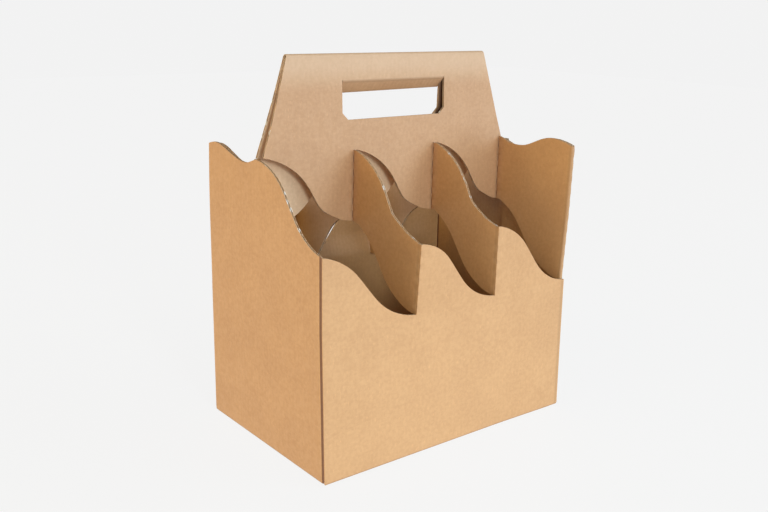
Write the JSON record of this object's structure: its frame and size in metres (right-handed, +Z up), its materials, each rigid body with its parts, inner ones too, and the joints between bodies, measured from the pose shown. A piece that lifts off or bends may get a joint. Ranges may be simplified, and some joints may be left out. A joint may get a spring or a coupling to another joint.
{
  "type": "cardboard bottle carrier",
  "caption": "Open-topped bottle carrier folded from kraft corrugated board, with wavy dividers and walls and a central A-shaped handle with a hand hole.",
  "frame": {"origin": "centre of the underside, on the surface the carrier stands on", "axes": "+X along the rows and the handle, +Y from the front row to the rear row, +Z up"},
  "size_m": [0.204, 0.1344, 0.248],
  "materials": {
    "kraft_board": "matte natural kraft liner on fine-fluted corrugated board"
  },
  "bodies": {
    "root": {"bottle_carrier": "kraft_board"}
  },
  "joints": []
}
